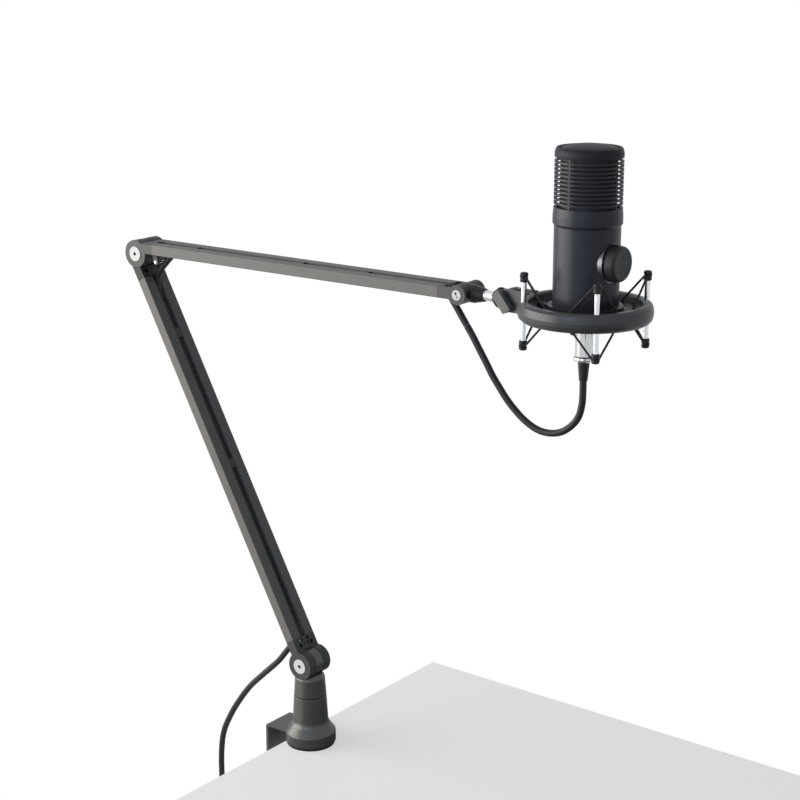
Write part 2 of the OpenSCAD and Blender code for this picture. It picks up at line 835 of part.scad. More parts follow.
module capsule() {
  color("#b9a25a")
    at_mic()
      translate([0, 0, band_top + 22])
        difference() {
          y_rod(17, -5, 5);
          for (s = [-1, 1])
            translate([0, s * 5, 0]) y_rod(14.5, -0.8, 0.8);
        }
}

module capsule_saddle() {
  color("#222326")
    at_mic() {
      translate([0, 0, body_top]) cylinder(r = 25.9, h = 2.4);
      difference() {
        translate([-8, -4, body_top + 2.4]) cube([16, 8, band_top + 10 - body_top - 2.4]);
        translate([0, 0, band_top + 22]) y_rod(17, -6, 6);
      }
    }
}

module circuit_board() {
  color("#1f5a3a")
    at_mic() {
      translate([7, -20, mic_z + 10.6]) cube([1.6, 40, 61.4]);
      translate([8.6, -5.5, knob_z - 5.5]) cube([6, 11, 11]);
      for (i = [0 : 3])
        translate([4, -14 + 8 * i, mic_z + 16 + 6 * i]) x_rod(3, 0, 3);
    }
}

module mic_base() {
  color("#35373f")
    at_mic()
      difference() {
        union() {
          translate([0, 0, mic_z]) cylinder(r = mic_r - 0.2, h = 3.5, $fn = fine);
          translate([0, 0, mic_z + 3.5]) cylinder(r = 13, h = 7);
          translate([0, 0, mic_z - 10]) cylinder(r = 12, h = 10);
        }
        translate([0, 0, mic_z - 11]) cylinder(r = plug_r + 0.1, h = 17);
      }
}

module knob_bezel() {
  color("#4b4d52")
    at_mic()
      translate([0, 0, knob_z])
        difference() {
          x_rod(17.1, 20, 26.6);
          x_rod(knob_r + 0.4, 25.4, 27);
          x_rod(3 + pin_gap, 19, 27);
          x_rod(14, 19, 23.4);
        }
}

module gain_knob() {
  color("#3a3b3e")
    at_mic()
      translate([0, 0, knob_z])
        difference() {
          union() {
            x_rod(3, 15, 28);
            translate([25.8, 0, 0])
              rotate([0, 90, 0])
                rotate_extrude()
                  polygon([[0, 0], [knob_r, 0], [knob_r - 0.7, 9], [knob_r - 1.9, 10.4], [0, 10.4]]);
          }
          translate([35.4, -0.5, 4]) cube([2, 1, 9]);
        }
}

module plug_shell() {
  color("silver")
    at_mic() {
      difference() {
        translate([0, 0, plug_z + 5]) cylinder(r = plug_r, h = mic_z + 4 - plug_z - 5);
        translate([0, 0, mic_z - 8]) cylinder(r = 6.6, h = 20);
      }
      translate([0, 0, plug_z])
        rotate_extrude()
          polygon([[0, 0], [7.6, 0], [9, 1.2], [9.4, 2.5], [9, 3.8], [7.8, 5], [0, 5]]);
    }
}

module plug_boot() {
  color("#1d1d1e")
    at_mic() translate([0, 0, boot_z]) cylinder(r1 = 3.7, r2 = 5.2, h = plug_z - boot_z);
}

// ---- cable behind the desk ----
module cable_rear() {
  color("#1d1d1e") cable(REAR_ROUTE, cable_mid);
}

module cable_coil() {
  color("#1d1d1e")
    translate([coil_x, 0, coil_z])
      rotate([90, 0, 0])
        rotate_extrude()
          translate([coil_r, 0]) round_rect(3 * cable_d + 0.4, 3 * cable_d + 0.4, 3);
}

module coil_tie() {
  side = 3 * cable_d + 0.4;
  color("#2b2b2b")
    translate([coil_x + 10, 0, coil_z + coil_r - 3])
      rotate([90, 0, 90])
        linear_extrude(12, center = true)
          difference() {
            round_rect(side + 5, side + 12, 3);
            round_rect(side + 1, side + 8, 2);
          }
}

module line_plug() {
  color("silver")
    translate([coil_x + coil_r + 6, cable_d + 0.2, coil_z - 20]) {
      translate([0, 0, -64]) cylinder(r = 9.3, h = 44);
      translate([0, 0, -20]) cylinder(r1 = 8, r2 = 3.7, h = 20);
    }
}

clamp_bracket();
base_riser();
riser_pad();
bracket_bolt();
swivel_bush();
clamp_foot();
foot_pad();
clamp_screw();
tee_bar();
swivel_post();
cable_rear();
cable_coil();
coil_tie();
line_plug();
lower_tube();
lower_base_end();
lower_elbow_end();
lower_springs();
lower_spring_pins();
lower_clips();
base_pivot_pin();
base_hubs();
cable_lower();
upper_tube();
upper_elbow_end();
upper_head_end();
upper_springs();
upper_spring_pins();
upper_clips();
elbow_pivot_pin();
elbow_hubs();
head_pivot_pin();
head_hubs();
cable_upper();
cable_elbow();
cable_drop();
head_knuckle();
head_stud();
thread_socket();
cable_loop();
shock_ring();
ring_posts();
post_caps();
elastic_cords();
cradle();
cradle_nut();
wing_knob();
mic_body();
grille();
grille_cap();
mesh_liner();
capsule();
capsule_saddle();
circuit_board();
mic_base();
knob_bezel();
plug_shell();
plug_boot();
gain_knob();
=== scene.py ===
from math import cos, radians, sin, tau

import bmesh
import bpy
from mathutils import Matrix, Vector


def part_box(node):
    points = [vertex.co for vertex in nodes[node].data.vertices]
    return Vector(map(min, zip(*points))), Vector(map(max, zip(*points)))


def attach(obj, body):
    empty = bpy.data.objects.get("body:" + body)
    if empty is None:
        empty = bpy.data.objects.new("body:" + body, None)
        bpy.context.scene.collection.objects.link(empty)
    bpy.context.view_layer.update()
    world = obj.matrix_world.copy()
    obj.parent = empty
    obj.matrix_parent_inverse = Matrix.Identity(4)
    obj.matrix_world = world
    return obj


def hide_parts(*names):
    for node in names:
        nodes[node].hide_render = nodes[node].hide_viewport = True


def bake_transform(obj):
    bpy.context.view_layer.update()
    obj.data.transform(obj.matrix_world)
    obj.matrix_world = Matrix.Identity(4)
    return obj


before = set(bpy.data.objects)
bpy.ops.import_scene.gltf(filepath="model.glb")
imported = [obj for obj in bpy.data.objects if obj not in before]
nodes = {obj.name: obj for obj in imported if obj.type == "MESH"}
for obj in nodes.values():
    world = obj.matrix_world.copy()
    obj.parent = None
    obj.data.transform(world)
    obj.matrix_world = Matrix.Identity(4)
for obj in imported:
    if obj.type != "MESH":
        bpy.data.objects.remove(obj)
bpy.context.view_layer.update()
MM = 0.001


# ---- camera ----
# A long lens stands to the front right of the desk, a little above the microphone, and
# looks slightly down across the boom arm.
camera = bpy.data.objects.new("camera", bpy.data.cameras.new("camera"))
camera.location = (1.07425, -1.23937, 0.80402)
camera.rotation_euler = Vector((-0.5908, 0.7632, -0.2617)).to_track_quat("-Z", "Y").to_euler()
camera.data.lens = 79.03
camera.data.sensor_width = 36
camera.data.clip_end = 30
bpy.context.scene.collection.objects.link(camera)
bpy.context.scene.camera = camera


# ---- microphone cable ----
# One round cable, 6.2 mm across, in a smooth black jacket. It lies in the slots of both
# arms, crosses the elbow in the open, hangs in a loop to the microphone's plug, and leaves
# the foot of the lower arm for the coil behind the desk.
def link(obj):
    bpy.context.scene.collection.objects.link(obj)
    return obj


def surface_effect():
    """Colour mottle, uneven roughness and a fine grain height, for any coated surface."""
    group = bpy.data.node_groups.new("surface_grain", "ShaderNodeTree")
    face = group.interface
    for name, kind, value in (("Colour", "NodeSocketColor", (0.1, 0.1, 0.1, 1)),
                              ("Roughness", "NodeSocketFloat", 0.5),
                              ("Grain", "NodeSocketFloat", 900.0),
                              ("Mottle", "NodeSocketFloat", 0.1),
                              ("Stretch", "NodeSocketVector", (1, 1, 1))):
        face.new_socket(name, in_out="INPUT", socket_type=kind).default_value = value
    for name, kind in (("Colour", "NodeSocketColor"), ("Roughness", "NodeSocketFloat"),
                       ("Height", "NodeSocketFloat")):
        face.new_socket(name, in_out="OUTPUT", socket_type=kind)
    make, join = group.nodes.new, group.links.new
    given, out = make("NodeGroupInput"), make("NodeGroupOutput")
    place, stretched = make("ShaderNodeTexCoord"), make("ShaderNodeVectorMath")
    stretched.operation = "MULTIPLY"
    join(place.outputs["Object"], stretched.inputs[0])
    join(given.outputs["Stretch"], stretched.inputs[1])
    grain, cloud = make("ShaderNodeTexNoise"), make("ShaderNodeTexNoise")
    grain.inputs["Detail"].default_value = 3
    cloud.inputs["Scale"].default_value = 45
    join(stretched.outputs[0], grain.inputs["Vector"])
    join(given.outputs["Grain"], grain.inputs["Scale"])
    join(place.outputs["Object"], cloud.inputs["Vector"])
    mixed = make("ShaderNodeMath")
    mixed.operation = "ADD"
    join(grain.outputs["Fac"], mixed.inputs[0])
    join(cloud.outputs["Fac"], mixed.inputs[1])
    shift = make("ShaderNodeMath")
    shift.operation = "SUBTRACT"
    join(mixed.outputs[0], shift.inputs[0])
    shift.inputs[1].default_value = 1
    factor = make("ShaderNodeMath")
    factor.operation = "MULTIPLY_ADD"
    join(shift.outputs[0], factor.inputs[0])
    join(given.outputs["Mottle"], factor.inputs[1])
    factor.inputs[2].default_value = 1
    tint = make("ShaderNodeVectorMath")
    tint.operation = "SCALE"
    join(given.outputs["Colour"], tint.inputs[0])
    join(factor.outputs[0], tint.inputs["Scale"])
    rough = make("ShaderNodeMath")
    rough.operation = "MULTIPLY"
    rough.use_clamp = True
    join(given.outputs["Roughness"], rough.inputs[0])
    join(factor.outputs[0], rough.inputs[1])
    join(tint.outputs[0], out.inputs["Colour"])
    join(rough.outputs[0], out.inputs["Roughness"])
    join(grain.outputs["Fac"], out.inputs["Height"])
    return group


surface_group = surface_effect()


def finish(name, colour, roughness, metallic=0.0, grain=900, mottle=0.12, relief=0.04,
           stretch=(1, 1, 1), specular=0.34):
    """A material whose colour, roughness and relief come from the shared surface effect."""
    material = bpy.data.materials.new(name)
    material.use_nodes = True
    tree = material.node_tree
    shader = tree.nodes["Principled BSDF"]
    shader.inputs["Metallic"].default_value = metallic
    shader.inputs["Specular IOR Level"].default_value = specular
    effect = tree.nodes.new("ShaderNodeGroup")
    effect.node_tree = surface_group
    effect.name = "surface"
    effect.inputs["Colour"].default_value = (*colour, 1)
    effect.inputs["Roughness"].default_value = roughness
    effect.inputs["Grain"].default_value = grain
    effect.inputs["Mottle"].default_value = mottle
    effect.inputs["Stretch"].default_value = stretch
    bump = tree.nodes.new("ShaderNodeBump")
    bump.inputs["Strength"].default_value = relief
    bump.inputs["Distance"].default_value = 0.4 * MM
    if metallic < 0.7:
        edge = tree.nodes.new("ShaderNodeBevel")
        edge.samples = 4
        edge.inputs["Radius"].default_value = 0.4 * MM
        tree.links.new(edge.outputs["Normal"], bump.inputs["Normal"])
    tree.links.new(effect.outputs["Height"], bump.inputs["Height"])
    tree.links.new(effect.outputs["Colour"], shader.inputs["Base Color"])
    tree.links.new(effect.outputs["Roughness"], shader.inputs["Roughness"])
    tree.links.new(bump.outputs["Normal"], shader.inputs["Normal"])
    return material


def smooth_line(points, step=2.5):
    """Points in millimetres joined by one smooth curve, sampled every few millimetres."""
    p = [Vector(q) for q in points]
    p = [2 * p[0] - p[1]] + p + [2 * p[-1] - p[-2]]
    line = []
    for a, b, c, d in zip(p, p[1:], p[2:], p[3:]):
        parts = max(2, round((c - b).length / step))
        for i in range(parts):
            t = i / parts
            line.append(0.5 * (2 * b + (c - a) * t + (2 * a - 5 * b + 4 * c - d) * t ** 2
                               + (3 * b - a - 3 * c + d) * t ** 3))
    return [q * MM for q in line + [p[-2]]]


def tube(name, line, radius, material, sides=6):
    """A round mesh tube along a line given in metres."""
    curve = bpy.data.curves.new(name + "_line", "CURVE")
    curve.dimensions = "3D"
    curve.bevel_depth = radius
    curve.bevel_resolution = sides
    curve.twist_mode = "MINIMUM"
    curve.use_fill_caps = True
    spline = curve.splines.new("POLY")
    spline.points.add(len(line) - 1)
    for point, place in zip(spline.points, line):
        point.co = (*place, 1)
    source = link(bpy.data.objects.new(name + "_line", curve))
    depsgraph = bpy.context.evaluated_depsgraph_get()
    mesh = bpy.data.meshes.new_from_object(source.evaluated_get(depsgraph))
    bpy.data.objects.remove(source)
    bpy.data.curves.remove(curve)
    mesh.shade_smooth()
    mesh.materials.clear()
    mesh.materials.append(material)
    return link(bpy.data.objects.new(name, mesh))


cable_radius = 3.1 * MM
jacket = finish("cable_jacket", (0.026, 0.026, 0.027), 0.48, grain=1400, relief=0.03)

in_lower_slot = smooth_line([(-19.7, 0, 122.8), (-70, 0, 214), (-120, 0, 304.4),
                             (-179, 0, 411), (-191.3, 0, 432.9)], 12)
in_upper_slot = smooth_line([(-171, 0, 485), (-165.6, 0, 487.1), (-156.5, 0, 488.1),
                             (-70, 0, 488.7), (60, 0, 489.5), (157.2, 0, 490.2)], 12)
for name, line, body, slotted in (("slot_cable_lower", in_lower_slot, "lower_arm", "cable_lower"),
                                  ("slot_cable_upper", in_upper_slot, "upper_arm", "cable_upper")):
    run = tube(name, line, cable_radius, jacket)
    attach(run, body)
    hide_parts(slotted)

across_elbow = smooth_line([
    (-191.6, 0, 433.6), (-194.4, 0, 439.5), (-196.4, 0, 445.8), (-197.3, 0, 451.6),
    (-197, 0, 456.8), (-194.7, 0, 461.8), (-191.1, 0, 466.5), (-186.3, 0, 471.2),
    (-181.2, 0, 476), (-176.2, 0, 480.6), (-171, 0, 485)])
elbow_run = tube("elbow_cable", across_elbow, cable_radius, jacket)
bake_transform(elbow_run)
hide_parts("cable_elbow")

below_head = smooth_line([
    (157.5, 0, 490.2), (159.3, 0, 490.2), (162.3, 0, 489.9), (165.1, 0, 489.1),
    (167.7, 0, 487.8), (170.1, 0, 486), (172.1, 0, 483.8), (176.4, 0, 478),
    (180.8, 0, 472.2), (185.1, 0, 466.4), (189.5, 0, 460.6)])
head_run = tube("head_cable", below_head, cable_radius, jacket)
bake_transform(head_run)
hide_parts("cable_drop")

hanging_loop = smooth_line([
    (190, 0, 460), (197, 0, 450.5), (204, 0, 440), (211.5, 0, 429), (218, 0, 419),
    (225.5, 0, 409.5), (233.5, 0, 400), (243, 0, 391), (254, 0, 383), (266.5, 0, 377.5),
    (279, 0, 376.5), (291, 0, 379.5), (301.5, 0, 387), (308.5, 0, 396.5), (311.5, 0, 408),
    (312, 0, 418), (312, 0, 429)])
loop_run = tube("loop_cable", hanging_loop, cable_radius, jacket)
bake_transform(loop_run)
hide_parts("cable_loop")


# The surplus is wound in a neat coil of nine lays, three deep and three wide. The strand
# moves from one lay to its neighbour a little earlier on each turn, so no two lays meet.
coil_centre = Vector((-102, 0, -176))
lays = [(40, -6.4), (34, -6.4), (28, -6.4), (28, 0), (28, 6.4), (34, 6.4), (34, 0), (40, 0),
        (40, 6.4)]
last_lay = len(lays) - 1
angle_step, first_shift, shift_span, end_angle = 6, 322, 28, 90


def coil_line():
    """Points along the coil in millimetres, clockwise from its top, with angles in degrees."""
    places = []
    for angle in range(0, 360 * last_lay + end_angle + 1, angle_step):
        turn = min(angle // 360, last_lay)
        here = angle - 360 * turn
        radius, side = lays[turn]
        if turn < last_lay:
            shift = max(0.0, min(1.0, (here - (first_shift - shift_span * turn)) / shift_span))
            radius += (lays[turn + 1][0] - radius) * shift
            side += (lays[turn + 1][1] - side) * shift
        places.append(coil_centre + Vector((radius * sin(radians(here)), side,
                                            radius * cos(radians(here)))))
    return places


down_to_coil = [
    (-19.2, 0, 122.1), (-18.3, 0, 120.3), (-17, 0, 117.2), (-16.5, 0, 114), (-16.8, 0, 110.7),
    (-17.9, 0, 107.5), (-19.6, 0, 104.7), (-25, 0, 97.9), (-30.5, 0, 91), (-41, 0, 78),
    (-50, 0, 69), (-59, 0, 60.5), (-69, 0, 51), (-80, 0, 40.2), (-89.5, 0, 29), (-98, 0, 17.5),
    (-106.5, 0, 5), (-114, 0, -8), (-120, 0, -20), (-124, 0, -32.5), (-126, 0, -46),
    (-127, 0, -60), (-127, 0, -74), (-127, 0, -88), (-127, -0.5, -102), (-126, -2, -112),
    (-122.5, -4.2, -121.5), (-116, -6.2, -129.5), (-107.5, -6.4, -134.9)]
behind_desk = smooth_line(down_to_coil + [tuple(q) for q in coil_line()]
                          + [(-62, 6.4, -186), (-62, 6.4, -196)], 4)
rear_run = tube("rear_cable", behind_desk, cable_radius, jacket, sides=4)
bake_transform(rear_run)
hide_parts("cable_rear", "cable_coil")


# ---- studio ----
# A plain pale slab stands in for the desk top in the clamp, and glows a little to the camera
# alone so that it stays pale. One long warm light stands at the front left, and a small cool
# one in front. The sky is white to the camera and brighter in reflections than it lights.
def slab(name, low, high, material):
    mesh = bpy.data.meshes.new(name)
    form = bmesh.new()
    bmesh.ops.create_cube(form, size=1)
    size = Vector(high) - Vector(low)
    middle = (Vector(high) + Vector(low)) / 2
    bmesh.ops.transform(form, matrix=Matrix.Translation(middle) @ Matrix.Diagonal((*size, 1)),
                        verts=form.verts)
    form.to_mesh(mesh)
    form.free()
    mesh.materials.append(material)
    return link(bpy.data.objects.new(name, mesh))


slab_glow, sky_light, sky_in_gloss = 0.52, 0.10, 0.68
pale_floor = finish("pale_floor", (0.62, 0.62, 0.61), 0.6, grain=60, mottle=0.02, relief=0.0)
floor_nodes = pale_floor.node_tree
floor_shader = floor_nodes.nodes["Principled BSDF"]
seen_by_eye = floor_nodes.nodes.new("ShaderNodeLightPath")
glow = floor_nodes.nodes.new("ShaderNodeMath")
glow.operation = "MULTIPLY"
glow.inputs[1].default_value = slab_glow
floor_nodes.links.new(seen_by_eye.outputs["Is Camera Ray"], glow.inputs[0])
floor_nodes.links.new(glow.outputs[0], floor_shader.inputs["Emission Strength"])
floor_shader.inputs["Emission Color"].default_value = (1, 0.99, 0.97, 1)
slab_low, slab_high = (-0.020, -1.2, -0.0299), (1.6, 0.235, -0.0001)
desk = slab("floor", slab_low, slab_high, pale_floor)

sky = bpy.data.worlds.new("sky")
bpy.context.scene.world = sky
sky.use_nodes = True
tree = sky.node_tree
seen, soft = tree.nodes["Background"], tree.nodes.new("ShaderNodeBackground")
seen.inputs["Color"].default_value = (1, 1, 1, 1)
seen.inputs["Strength"].default_value = 1.0
soft.inputs["Color"].default_value = (0.93, 0.96, 1.0, 1)
ray, mix = tree.nodes.new("ShaderNodeLightPath"), tree.nodes.new("ShaderNodeMixShader")
gloss = tree.nodes.new("ShaderNodeMath")
gloss.operation = "MULTIPLY_ADD"
tree.links.new(ray.outputs["Is Glossy Ray"], gloss.inputs[0])
gloss.inputs[1].default_value = sky_in_gloss
gloss.inputs[2].default_value = sky_light
tree.links.new(gloss.outputs[0], soft.inputs["Strength"])
tree.links.new(ray.outputs["Is Camera Ray"], mix.inputs["Fac"])
tree.links.new(soft.outputs["Background"], mix.inputs[1])
tree.links.new(seen.outputs["Background"], mix.inputs[2])
tree.links.new(mix.outputs["Shader"], tree.nodes["World Output"].inputs["Surface"])
bpy.context.scene.view_settings.view_transform = "Standard"


def softbox(name, place, target, size, power, colour):
    lamp = bpy.data.lights.new(name, "AREA")
    lamp.shape = "RECTANGLE"
    lamp.size, lamp.size_y = size
    lamp.energy = power
    lamp.color = colour
    stand = link(bpy.data.objects.new(name, lamp))
    stand.location = place
    stand.rotation_euler = (Vector(target) - Vector(place)).to_track_quat("-Z", "Y").to_euler()


softbox("key_light", (-2.15, -1.75, 0.75), (0.05, 0, 0.4), (3.4, 1.9), 92, (1.0, 0.97, 0.92))
softbox("front_light", (0.75, -2.9, 1.3), (0.2, 0, 0.45), (0.9, 1.4), 11, (0.52, 0.68, 1.0))


# ---- clamp ----
# A bent steel strip reaches round the edge of the desk. The collar stands on a rubber pad
# and is bolted to the strip; powder coat covers the strip and the collar.
def paint(material, *names):
    for name in names:
        nodes[name].data.materials.clear()
        nodes[name].data.materials.append(material)


strip_paint = finish("strip_paint", (0.062, 0.062, 0.060), 0.32, specular=0.8, relief=0.10)
post_paint = finish("post_paint", (0.125, 0.128, 0.118), 0.36, metallic=0.62, relief=0.08)
rubber = finish("rubber_pad", (0.012, 0.012, 0.012), 0.75, grain=600, relief=0.2)
bright_steel = finish("bright_steel", (0.62, 0.62, 0.60), 0.26, metallic=1, grain=500, relief=0.05,
                      stretch=(1, 1, 12))
paint(strip_paint, "clamp_bracket", "clamp_foot")
paint(post_paint, "base_riser", "swivel_post")
paint(rubber, "riser_pad", "foot_pad")
paint(bright_steel, "bracket_bolt")


# ---- clamp screw ----
# A zinc-plated steel screw with a rolled 2 mm thread runs through the strip's lower leg. Its
# turned boss is pinned to the bottom end, and the black tee bar slides through the boss.
def made(name, form, material, smooth=True):
    """The finished bmesh as a linked object with one material."""
    mesh = bpy.data.meshes.new(name)
    form.to_mesh(mesh)
    form.free()
    if smooth:
        mesh.shade_smooth()
    mesh.materials.append(material)
    return link(bpy.data.objects.new(name, mesh))


def threaded_rod(name, radius, depth, pitch, low, high, material):
    """A closed rod along Z, in metres, whose rolled thread fades out at both ends."""
    around, along = 24, 8
    flank, crest = 2.2, 0.6
    form = bmesh.new()
    turns = (high - low) / pitch
    count = round(turns * along)
    rings = []
    for row in range(count + 1):
        z = low + (high - low) * row / count
        fade = min(1, (z - low) / pitch, (high - z) / pitch)
        ring = []
        for step in range(around):
            phase = ((z - low) / pitch - step / around) % 1
            ridge = min(1, max(0, flank * abs(2 * phase - 1) - crest))
            r = radius - depth * (1 - ridge * fade)
            angle = tau * step / around
            ring.append(form.verts.new((r * cos(angle), r * sin(angle), z)))
        rings.append(ring)
    for lower, upper in zip(rings, rings[1:]):
        for k in range(around):
            j = (k + 1) % around
            form.faces.new((lower[k], lower[j], upper[j], upper[k]))
    form.faces.new(rings[0][::-1])
    form.faces.new(rings[-1])
    return made(name, form, material)


def turned(name, profile, material, steps=64, place=None, bevel=0.0):
    """A shape turned about Z from a closed profile in millimetres, outer side top to bottom."""
    mesh = bpy.data.meshes.new(name)
    points = [(x * MM, 0, z * MM) for x, z in profile]
    mesh.from_pydata(points, [(i, i + 1) for i in range(len(points) - 1)], [])
    piece = link(bpy.data.objects.new(name, mesh))
    screw = piece.modifiers.new("turn", "SCREW")
    screw.steps = screw.render_steps = steps
    screw.use_merge_vertices = True
    screw.merge_threshold = 1e-6
    screw.use_smooth_shade = True
    if bevel:
        soft_edge = piece.modifiers.new("soft_edge", "BEVEL")
        soft_edge.width = bevel * MM
        soft_edge.segments = 2
        soft_edge.limit_method = "ANGLE"
        soft_edge.angle_limit = radians(30)
    mesh.materials.append(material)
    if place is not None:
        settle(piece, place)
    return piece


def settle(piece, place):
    """Applies a piece's stack, and then puts its place into its mesh."""
    depsgraph = bpy.context.evaluated_depsgraph_get()
    mesh = bpy.data.meshes.new_from_object(piece.evaluated_get(depsgraph))
    piece.modifiers.clear()
    old, piece.data = piece.data, mesh
    bpy.data.meshes.remove(old)
    mesh.transform(place)


def joined(name, parts):
    """Several finished pieces made one object."""
    form = bmesh.new()
    material = parts[0].data.materials[0]
    for part in parts:
        form.from_mesh(part.data)
        bpy.data.objects.remove(part)
    return made(name, form, material)


screw_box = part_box("clamp_screw")
screw_low, screw_high = screw_box[0][2], screw_box[1][2]
thread_radius, thread_depth, thread_pitch, thread_hidden = 5 * MM, 0.6 * MM, 2 * MM, 1 * MM
boss_profile = [(0, 12), (6.3, 12), (7.7, 11), (8, 9.6), (8, 8.2), (7.5, 7.6), (7.5, 4.4), (8, 3.8),
                (8, 2.4), (7.7, 1), (6.3, 0), (0, 0)]
boss_height = boss_profile[0][1] * MM
thread = threaded_rod("screw_thread", thread_radius, thread_depth, thread_pitch,
                      screw_low + boss_height - thread_hidden, screw_high, bright_steel)
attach(thread, "screw")
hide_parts("clamp_screw")
boss_low = screw_low / MM
boss = turned("screw_boss", [(x, boss_low + z) for x, z in boss_profile], bright_steel)
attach(boss, "screw")
tee_paint = finish("tee_paint", (0.030, 0.030, 0.031), 0.38, relief=0.05)
paint(tee_paint, "tee_bar")


# ---- swivel bush ----
# A black nylon bush is pressed into the collar. The post's spigot turns in it, and its thin
# flange shows as the dark seam between the collar and the post.
nylon = finish("black_nylon", (0.024, 0.024, 0.025), 0.5, relief=0.06)
paint(nylon, "swivel_bush")


# ---- arm tubes and castings ----
# Two box-section steel tubes in satin warm grey. Their cast ends are plugged into the closed
# channels, and are painted in three darker greys.
tube_paint = finish("tube_paint", (0.215, 0.205, 0.190), 0.44, relief=0.07, grain=1100)
cast_paint = finish("cast_paint", (0.075, 0.075, 0.070), 0.45, relief=0.12, grain=800)
elbow_paint = finish("elbow_paint", (0.030, 0.030, 0.029), 0.42, relief=0.12, grain=800)
knuckle_paint = finish("knuckle_paint", (0.112, 0.112, 0.104), 0.45, relief=0.12, grain=800)
clip_plastic = finish("clip_plastic", (0.070, 0.070, 0.066), 0.5, relief=0.05)
paint(tube_paint, "lower_tube", "upper_tube")
paint(cast_paint, "lower_base_end")
paint(knuckle_paint, "upper_elbow_end", "upper_head_end")
paint(elbow_paint, "lower_elbow_end")
paint(clip_plastic, "lower_clips", "upper_clips")


# ---- springs ----
# A spring of bright music wire, drawn open by its load, lies in each closed channel. The wire
# at its ends is bent on to the axis and runs to the cross pins.
def spring(name, start, end, radius, wire, pitch, material):
    """A tension spring between two points, with straight tails at both ends."""
    corners, lead = 10, 5
    axis = (end - start).normalized()
    side = axis.orthogonal().normalized()
    up = axis.cross(side)
    tail = 7 * MM
    span = (end - start).length - 2 * tail
    steps = int(span / pitch * corners)
    line = [start]
    for i in range(steps + 1):
        turn = tau * i / corners
        r = radius * min(1, i / lead, (steps - i) / lead)
        line.append(start + axis * (tail + span * i / steps) + (side * cos(turn) + up * sin(turn)) * r)
    return tube(name, line + [end], wire / 2, material, sides=1)


spring_steel = finish("spring_steel", (0.60, 0.60, 0.58), 0.25, metallic=1, relief=0.03)
paint(bright_steel, "base_pivot_pin", "elbow_pivot_pin", "head_pivot_pin", "lower_spring_pins",
      "upper_spring_pins")
coil_radius, wire_size, coil_pitch, sleeve_radius = 2.9 * MM, 0.9 * MM, 1.9 * MM, 3.4 * MM
for body, node, first, last in (
        ("lower_arm", "lower_springs", Vector((-23.9, 0, 131.7)), Vector((-164.5, 0, 383.2))),
        ("upper_arm", "upper_springs", Vector((-161.4, 0, 488)), Vector((96.6, 0, 489.7)))):
    pair = []
    outer_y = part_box(node)[1][1]
    for side in (-1, 1):
        offset = Vector((0, side * (outer_y - sleeve_radius), 0))
        pair.append(spring(f"spring_wire_{side}", first * MM + offset, last * MM + offset, coil_radius,
                           wire_size, coil_pitch, spring_steel))
    wires = joined(node.replace("springs", "spring_wires"), pair)
    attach(wires, body)
    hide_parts(node)


# ---- hub screws ----
# White zinc discs close the ends of the hinge pins. The larger ones have a small hexagon
# socket, and the smaller ones at the head have two round holes for a pin spanner. Near-black
# cups line the socket and the holes as painted shade for their dark insides.
hub_white = finish("hub_white", (0.93, 0.93, 0.91), 0.35, relief=0.05)
# Near-black painted shade, for the dark insides of the hub recesses and the cap vents.
painted_recess_shade = finish("painted_recess_shade", (0.004, 0.004, 0.004), 0.6, relief=0.02)
paint(hub_white, "base_hubs", "elbow_hubs", "head_hubs")


def shade_cups(name, centre, face_y, radius, sides, places):
    """Closed near-black cups, in millimetres, that line the tool recesses at both ends of a hinge pin:
    painted shade for the dark inside of each recess.
    """
    cup = ((radius, -0.88), (radius, 0.02), (0.86 * radius, -0.1), (0.8 * radius, -0.5))
    form = bmesh.new()
    for end in (-1, 1):
        for x, z in places:
            rings = []
            for r, depth in cup:
                ring = []
                for k in range(sides):
                    angle = tau * (k + 0.5) / sides
                    corner = (centre[0] + x + r * cos(angle), end * (face_y + depth),
                              centre[1] + z + r * sin(angle))
                    ring.append(form.verts.new(Vector(corner) * MM))
                rings.append(ring)
            for outer, inner in zip(rings, rings[1:]):
                for k in range(sides):
                    j = (k + 1) % sides
                    form.faces.new((outer[k], inner[k], inner[j], outer[j]))
            form.faces.new(rings[0])
            form.faces.new(rings[-1])
    bmesh.ops.recalc_face_normals(form, faces=form.faces)
    return made(name, form, painted_recess_shade, smooth=False)


for body, hub, radius, sides, places in (
        ("lower_arm", "base_hubs", 2.25, 6, [(0, 0)]), ("upper_arm", "elbow_hubs", 2.25, 6, [(0, 0)]),
        ("upper_arm", "head_hubs", 0.9, 12, [(-0.9, 1.5), (0.8, -1.7)])):
    low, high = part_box(hub)
    middle = ((low[0] + high[0]) / 2 / MM, (low[2] + high[2]) / 2 / MM)
    shade_lining = shade_cups(hub.replace("hubs", "hub_shade_cups"), middle, high[1] / MM, radius, sides, places)
    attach(shade_lining, body)


# ---- head ----
# A cast knuckle on the head pin carries a threaded steel stud, and the round socket of the
# shock mount screws on to it. The wing screw clamps the socket's tilt.
head_paint = finish("head_paint", (0.028, 0.029, 0.030), 0.40, relief=0.10)
wing_paint = finish("wing_paint", (0.22, 0.22, 0.21), 0.5, relief=0.10)
paint(head_paint, "head_knuckle", "thread_socket")
paint(wing_paint, "wing_knob")
plated = finish("plated_stud", (0.95, 0.95, 0.93), 0.30, metallic=0.8, relief=0.0, mottle=0.03)
stud_radius, stud_depth, stud_pitch = 4.76 * MM, 0.14 * MM, 1.59 * MM
low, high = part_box("head_stud")
stud = threaded_rod("stud_thread", stud_radius, stud_depth, stud_pitch, low[0], high[0], plated)
stud_place = Matrix.Translation((0, 0, (low[2] + high[2]) / 2)) @ Matrix.Rotation(radians(90), 4, "Y")
stud.data.transform(stud_place)
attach(stud, "head")
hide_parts("head_stud")


